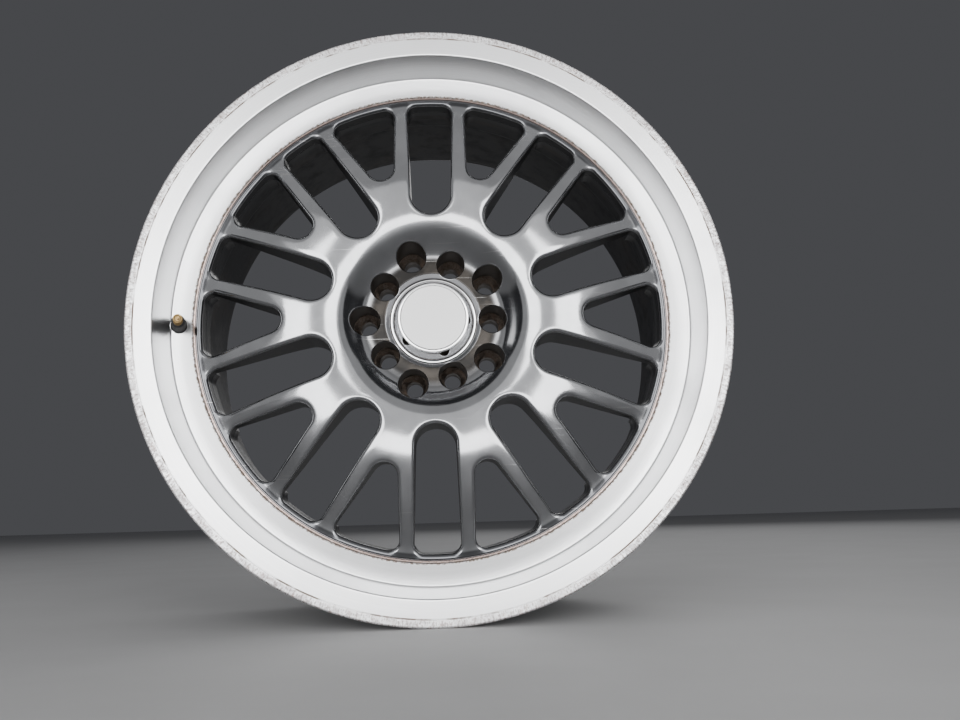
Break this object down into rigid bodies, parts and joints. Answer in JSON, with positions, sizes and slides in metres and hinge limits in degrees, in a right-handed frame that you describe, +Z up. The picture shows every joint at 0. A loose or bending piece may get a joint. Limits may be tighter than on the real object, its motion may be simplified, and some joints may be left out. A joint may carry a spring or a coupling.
{
  "type": "racing wheel rim",
  "caption": "Modular forged racing wheel: a dark spoked centre bolted between a polished stepped lip and a black barrel, with tyre valve and pull-off centre cap.",
  "frame": {"origin": "on the wheel's axis, halfway between the street-side and the brake-side edges of the rim", "axes": "+Y along the wheel's axis towards the hub and brake side, so the street side faces -Y; +Z up, with a slot on the +Z line; the valve is on the -X side"},
  "size_m": [0.4966, 0.2472, 0.4966],
  "materials": {
    "smoked_chrome": "gloss, hyper-black tint",
    "polished_lip": "machined and polished, clear coat, scuffed edge",
    "black_barrel": "satin black paint",
    "bolt_steel": "zinc plated",
    "insert_steel": "bare",
    "sealant": "cured silicone",
    "seat_steel": "dark with light rust",
    "cap_chrome": "bright chrome on plastic",
    "cap_white": "gloss white",
    "foam_tape": "matte",
    "spring_steel": "drawn wire",
    "valve_rubber": "matte black",
    "valve_brass": "dull",
    "core_seal": "matte"
  },
  "bodies": {
    "wheel": {"wheel_centre": "smoked_chrome", "outer_rim_half": "polished_lip", "inner_rim_half": "black_barrel", "assembly_bolts": "bolt_steel", "assembly_washers": "bolt_steel", "thread_inserts": "insert_steel", "joint_sealant": "sealant", "wide_lug_seats": "seat_steel", "narrow_lug_seats": "seat_steel", "valve_rubber": "valve_rubber", "valve_stem": "valve_brass", "valve_core_body": "valve_brass", "valve_core_gasket": "core_seal", "valve_core_spring": "spring_steel"},
    "centre_cap": {"cap_shell": "cap_chrome", "cap_disc": "cap_white", "cap_adhesive_pad": "foam_tape", "cap_spring_ring": "spring_steel"},
    "valve_pin": {"valve_core_pin": "valve_brass", "valve_core_seal": "core_seal"}
  },
  "joints": [
    {"name": "cap_pull", "type": "slide", "parent": "wheel", "child": "centre_cap", "axis": [0, -1, 0], "range_m": [0, 0.03]},
    {"name": "core_pin_press", "type": "slide", "parent": "wheel", "child": "valve_pin", "axis": [-0.2419, 0.9703, 0], "range_m": [0, 0.0015], "stiffness_N_per_m": 1200, "springref_m": -0.0006, "deforming": ["valve_core_spring"]}
  ]
}
